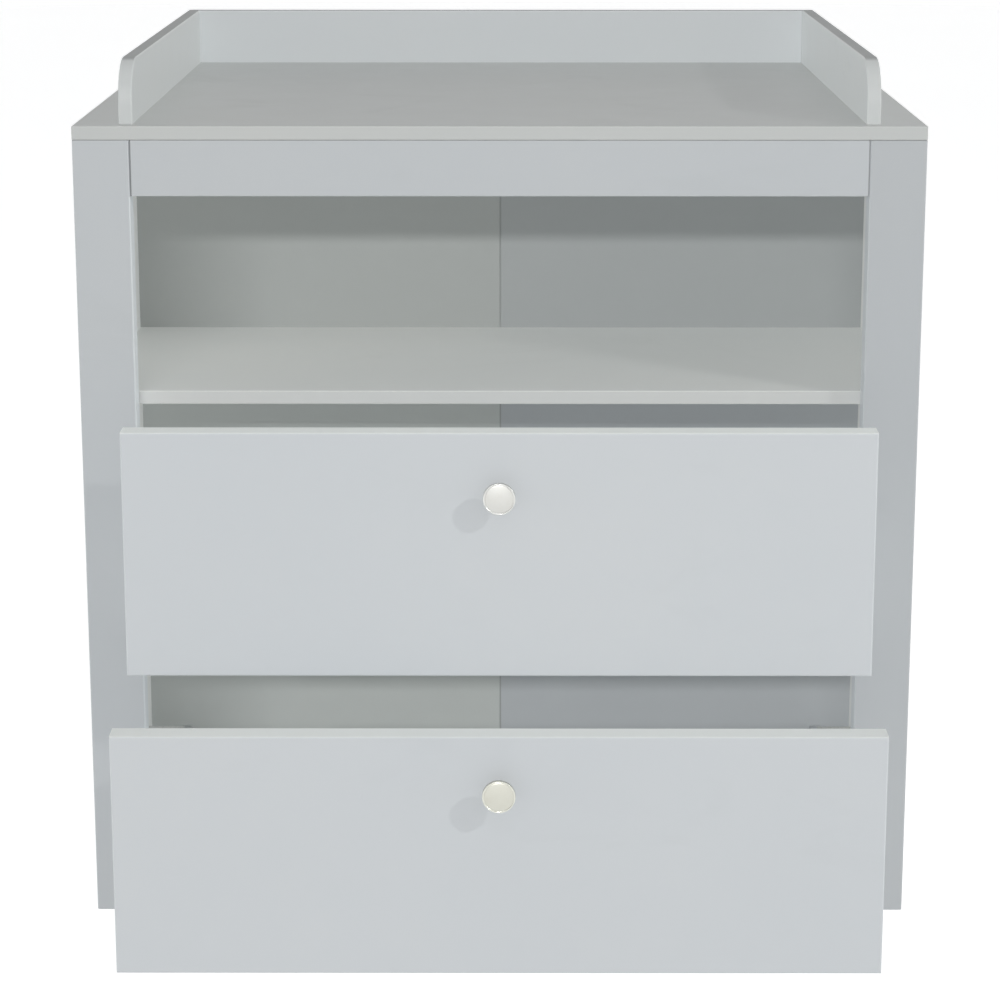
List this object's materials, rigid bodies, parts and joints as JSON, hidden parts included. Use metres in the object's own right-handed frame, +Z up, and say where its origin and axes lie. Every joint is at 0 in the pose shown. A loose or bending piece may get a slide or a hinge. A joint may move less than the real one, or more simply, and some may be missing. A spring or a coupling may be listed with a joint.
{
  "type": "changing dresser",
  "caption": "Light-grey changing dresser: a railed changing top that runs out past the back, an open compartment under it, and wide knobbed drawers on full-extension runners.",
  "frame": {"origin": "centre of the base of the bounding box, on the floor, with the drawers as they stand at rest (the upper one 150 mm out, the lower one 300 mm out)", "axes": "+Z up, +X to the right seen from the front, +Y into the dresser: the drawers face -Y"},
  "size_m": [0.98, 1.068, 1.031],
  "materials": {
    "top_lacquer": "board with a smooth matte light-grey coat",
    "frame_lacquer": "board with a smooth matte light-grey coat",
    "drawer_front_lacquer": "thick board with a smooth matte light-grey coat",
    "carcass_board": "board with a smooth matte light-grey coat",
    "back_sheet": "thin fibreboard, grey coat inside, brown outside",
    "joint_strip": "brown hardboard strip",
    "drawer_box_board": "board with a plain light-grey coat",
    "drawer_bottom_sheet": "thin sheet with a light-grey coat",
    "batten_coat": "planed softwood with a thin light-grey coat",
    "dowel_wood": "beech dowel",
    "runner_steel": "zinc-plated sheet steel",
    "screw_steel": "zinc-plated",
    "bolt_steel": "zinc-plated",
    "cam_metal": "die-cast, dull",
    "knob_metal": "satin, with a fine turned rim"
  },
  "bodies": {
    "carcass": {"back_joint_strip": "joint_strip", "back_panel_left": "back_sheet", "back_panel_nails": "screw_steel", "back_panel_right": "back_sheet", "batten_screws": "screw_steel", "bottom_panel": "carcass_board", "cam_bolts": "bolt_steel", "cam_locks": "cam_metal", "changing_rail_back": "top_lacquer", "changing_rail_left": "top_lacquer", "changing_rail_right": "top_lacquer", "changing_rail_screws": "screw_steel", "changing_top": "top_lacquer", "front_middle_rail": "frame_lacquer", "front_stile_left": "frame_lacquer", "front_stile_right": "frame_lacquer", "front_top_rail": "frame_lacquer", "lower_batten_left": "batten_coat", "lower_batten_right": "batten_coat", "lower_runner_outer_left": "runner_steel", "lower_runner_outer_right": "runner_steel", "plinth_rail": "carcass_board", "rear_top_rail": "carcass_board", "runner_screws": "screw_steel", "shelf": "carcass_board", "side_panel_left": "carcass_board", "side_panel_right": "carcass_board", "upper_batten_left": "batten_coat", "upper_batten_right": "batten_coat", "upper_runner_outer_left": "runner_steel", "upper_runner_outer_right": "runner_steel", "wooden_dowels": "dowel_wood"},
    "upper_drawer": {"upper_drawer_back": "drawer_box_board", "upper_drawer_bottom": "drawer_bottom_sheet", "upper_drawer_cam_bolts": "bolt_steel", "upper_drawer_cam_locks": "cam_metal", "upper_drawer_front": "drawer_front_lacquer", "upper_drawer_screws": "screw_steel", "upper_drawer_side_left": "drawer_box_board", "upper_drawer_side_right": "drawer_box_board", "upper_knob": "knob_metal", "upper_knob_screw": "screw_steel", "upper_runner_inner_left": "runner_steel", "upper_runner_inner_right": "runner_steel"},
    "lower_drawer": {"lower_drawer_back": "drawer_box_board", "lower_drawer_bottom": "drawer_bottom_sheet", "lower_drawer_cam_bolts": "bolt_steel", "lower_drawer_cam_locks": "cam_metal", "lower_drawer_front": "drawer_front_lacquer", "lower_drawer_screws": "screw_steel", "lower_drawer_side_left": "drawer_box_board", "lower_drawer_side_right": "drawer_box_board", "lower_knob": "knob_metal", "lower_knob_screw": "screw_steel", "lower_runner_inner_left": "runner_steel", "lower_runner_inner_right": "runner_steel"},
    "lower_runner_middle_left": {"lower_runner_middle_left": "runner_steel"},
    "lower_runner_middle_right": {"lower_runner_middle_right": "runner_steel"},
    "upper_runner_middle_left": {"upper_runner_middle_left": "runner_steel"},
    "upper_runner_middle_right": {"upper_runner_middle_right": "runner_steel"}
  },
  "joints": [
    {"name": "upper_drawer_slide", "type": "slide", "parent": "carcass", "child": "upper_drawer", "axis": [0, -1, 0], "range_m": [-0.15, 0.2]},
    {"name": "lower_drawer_slide", "type": "slide", "parent": "carcass", "child": "lower_drawer", "axis": [0, -1, 0], "range_m": [-0.3, 0.05]},
    {"name": "upper_runner_left_slide", "type": "slide", "parent": "carcass", "child": "upper_runner_middle_left", "axis": [0, -1, 0], "range_m": [-0.075, 0.1]},
    {"name": "upper_runner_right_slide", "type": "slide", "parent": "carcass", "child": "upper_runner_middle_right", "axis": [0, -1, 0], "range_m": [-0.075, 0.1]},
    {"name": "lower_runner_left_slide", "type": "slide", "parent": "carcass", "child": "lower_runner_middle_left", "axis": [0, -1, 0], "range_m": [-0.15, 0.025]},
    {"name": "lower_runner_right_slide", "type": "slide", "parent": "carcass", "child": "lower_runner_middle_right", "axis": [0, -1, 0], "range_m": [-0.15, 0.025]}
  ],
  "couplings": [
    {"joint": "upper_runner_left_slide", "follows": "upper_drawer_slide", "ratio": 0.5},
    {"joint": "upper_runner_right_slide", "follows": "upper_drawer_slide", "ratio": 0.5},
    {"joint": "lower_runner_left_slide", "follows": "lower_drawer_slide", "ratio": 0.5},
    {"joint": "lower_runner_right_slide", "follows": "lower_drawer_slide", "ratio": 0.5}
  ]
}
